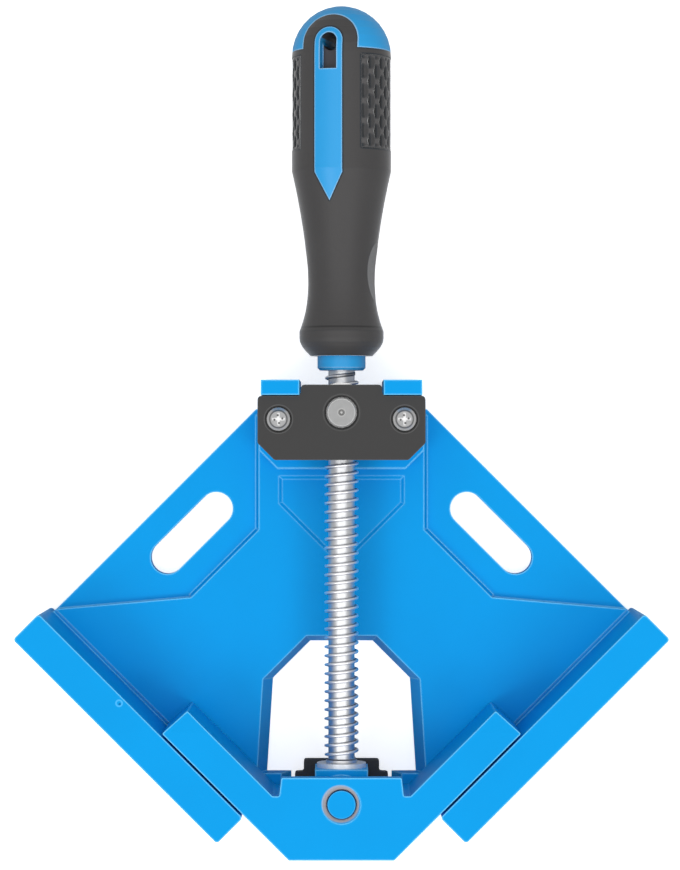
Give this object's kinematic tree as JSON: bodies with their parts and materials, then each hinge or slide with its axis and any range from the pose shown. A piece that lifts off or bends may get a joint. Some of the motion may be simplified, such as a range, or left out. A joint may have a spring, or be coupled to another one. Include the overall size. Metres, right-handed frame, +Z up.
{
  "type": "corner clamp",
  "caption": "Right-angle corner clamp: a cast base with fixed jaws and slotted wings, and a floating V jaw pushed by a hand screw that runs in a swivelling nut.",
  "frame": {"origin": "on the underside of the base, below the axis of the swivel nut", "axes": "+Z up from the bench, +Y from the jaws toward the handle, +X to the right as seen from above"},
  "size_m": [0.2154, 0.2835, 0.044],
  "materials": {
    "blue_paint": "semi-gloss paint on a die casting",
    "black_coat": "satin black coat",
    "plated_steel": "bright zinc plate",
    "turned_steel": "turned",
    "blue_plastic": "satin moulded plastic",
    "soft_grip": "matte soft grip"
  },
  "bodies": {
    "base": {"base_casting": "blue_paint", "nut_cap": "black_coat", "cap_screw_left": "plated_steel", "cap_screw_right": "plated_steel"},
    "nut": {"swivel_nut": "turned_steel"},
    "head": {"swivel_head": "blue_paint", "thrust_washer": "plated_steel"},
    "screw": {"spindle": "plated_steel", "retaining_clip": "plated_steel", "handle_core": "blue_plastic", "handle_grip": "soft_grip"},
    "jaw": {"moving_jaw": "blue_paint", "jaw_keeper": "black_coat", "keeper_screw_left": "plated_steel", "keeper_screw_right": "plated_steel"}
  },
  "joints": [
    {"name": "nut_swing", "type": "hinge", "parent": "base", "child": "nut", "pos_m": [0, 0, 0.0265], "axis": [0, 0, 1], "range_deg": [-12, 12]},
    {"name": "jaw_travel", "type": "slide", "parent": "nut", "child": "head", "axis": [0, 1, 0], "range_m": [-0.0006, 0.096]},
    {"name": "spindle_turn", "type": "hinge", "parent": "head", "child": "screw", "pos_m": [0, -0.1292, 0.0265], "axis": [0, 1, 0], "range_deg": [-72.5, 11520.5]},
    {"name": "jaw_pivot", "type": "hinge", "parent": "head", "child": "jaw", "pos_m": [0, -0.1292, 0.0265], "axis": [0, 0, 1], "range_deg": [-12, 12]}
  ],
  "couplings": [
    {"joint": "spindle_turn", "follows": "jaw_travel", "rad_per_m": 2094.4},
    {"joint": "nut_swing", "follows": "jaw_travel", "rad_per_m": 1.0908},
    {"joint": "jaw_pivot", "follows": "jaw_travel", "rad_per_m": -1.0908}
  ]
}
